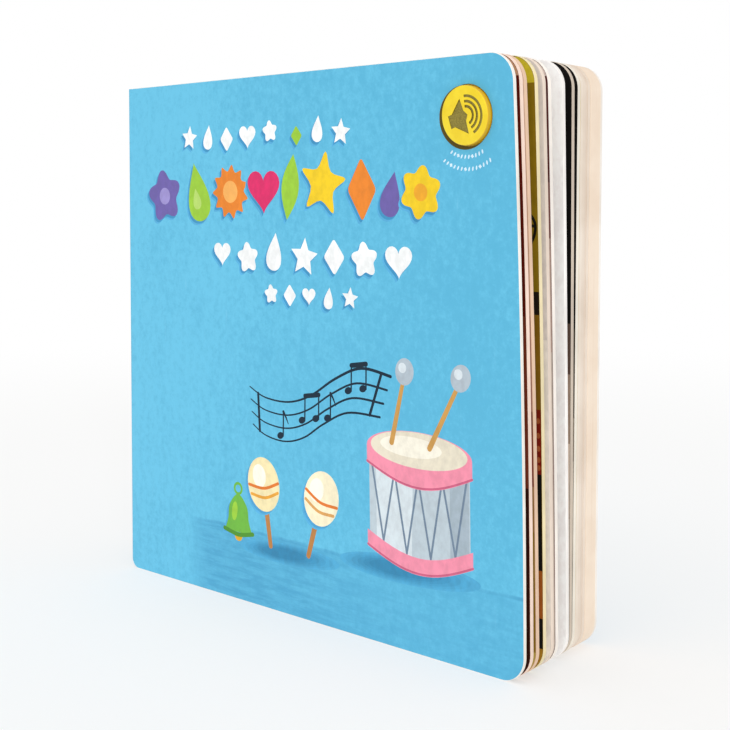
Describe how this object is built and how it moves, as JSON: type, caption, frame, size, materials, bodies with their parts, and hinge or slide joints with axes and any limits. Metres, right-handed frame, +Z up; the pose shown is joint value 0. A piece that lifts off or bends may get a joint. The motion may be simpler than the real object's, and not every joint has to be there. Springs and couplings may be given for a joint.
{
  "type": "sound book",
  "caption": "Square board book with fanned thick leaves, a push button on the front cover and a battery sound unit in its thick back section.",
  "frame": {"origin": "on the surface that the book stands on, under the core board of the back section, half way along the book's width", "axes": "+Z up towards the book's head, +X from the spine to the fore edge, -Y out of the front cover, +Y out of the back cover"},
  "size_m": [0.19, 0.0534, 0.19],
  "materials": {
    "cover_board": "gloss laminated print, blue",
    "page_board": "printed board with bare cut edges",
    "core_board": "bare cut board, satin",
    "button": "yellow, satin",
    "film": "amber circuit film",
    "white_plastic": "fine moulded texture",
    "steel": "nickel plated",
    "cell": "polished steel can",
    "contact": "sprung brass",
    "speaker_metal": "dark zinc",
    "cone": "black pressed paper",
    "magnet": "ground ferrite",
    "circuit": "green solder mask",
    "chip": "black potting resin",
    "capacitor": "blue sleeve",
    "connector": "ivory",
    "switch_black": "black",
    "knob": "white",
    "red_wire": "red insulation",
    "black_wire": "black insulation"
  },
  "bodies": {
    "back_section": {"unit_film": "film", "liner_board": "page_board", "window_board_1": "page_board", "window_board_2": "page_board", "window_board_3": "page_board", "core_board": "core_board", "back_cover": "cover_board", "unit_case": "white_plastic", "unit_lid": "white_plastic", "case_screws": "steel", "battery_cell_1": "cell", "battery_cell_2": "cell", "battery_cell_3": "cell", "bay_contacts": "contact", "speaker_frame": "speaker_metal", "speaker_cone": "cone", "speaker_magnet": "magnet", "circuit_board": "circuit", "sound_chip": "chip", "capacitor": "capacitor", "film_connector": "connector", "switch_body": "switch_black", "speaker_leads": "red_wire", "battery_leads": "black_wire"},
    "book_block": {"page_block": "page_board", "spine_board": "cover_board", "spine_film": "film"},
    "front_cover": {"front_cover": "cover_board", "cover_film": "film", "snap_dome": "steel"},
    "sound_button": {"button_cap": "button"},
    "battery_door": {"battery_door": "white_plastic", "door_contacts": "contact"},
    "battery_screw": {"battery_screw": "steel"},
    "switch_knob": {"switch_knob": "knob"}
  },
  "joints": [
    {"name": "back_cover_hinge", "type": "hinge", "parent": "back_section", "child": "book_block", "pos_m": [-0.095, 0.0048, 0.095], "axis": [0, 0, -1], "range_deg": [0, 170]},
    {"name": "front_cover_hinge", "type": "hinge", "parent": "book_block", "child": "front_cover", "pos_m": [-0.095, -0.0252, 0.095], "axis": [0, 0, -1], "range_deg": [0, 170]},
    {"name": "button_press", "type": "slide", "parent": "front_cover", "child": "sound_button", "axis": [0.1186, 0.9911, 0.0601], "range_m": [0, 0.0003], "stiffness_N_per_m": 3000, "springref_m": -0.0001},
    {"name": "battery_door_lift", "type": "slide", "parent": "back_section", "child": "battery_door", "axis": [0, 1, 0], "range_m": [0, 0.015]},
    {"name": "battery_screw_turn", "type": "hinge", "parent": "battery_door", "child": "battery_screw", "pos_m": [0.0177, 0.0047, 0.0336], "axis": [0, 1, 0], "continuous": true},
    {"name": "switch_slide", "type": "slide", "parent": "back_section", "child": "switch_knob", "axis": [1, 0, 0], "range_m": [0, 0.0025]}
  ]
}
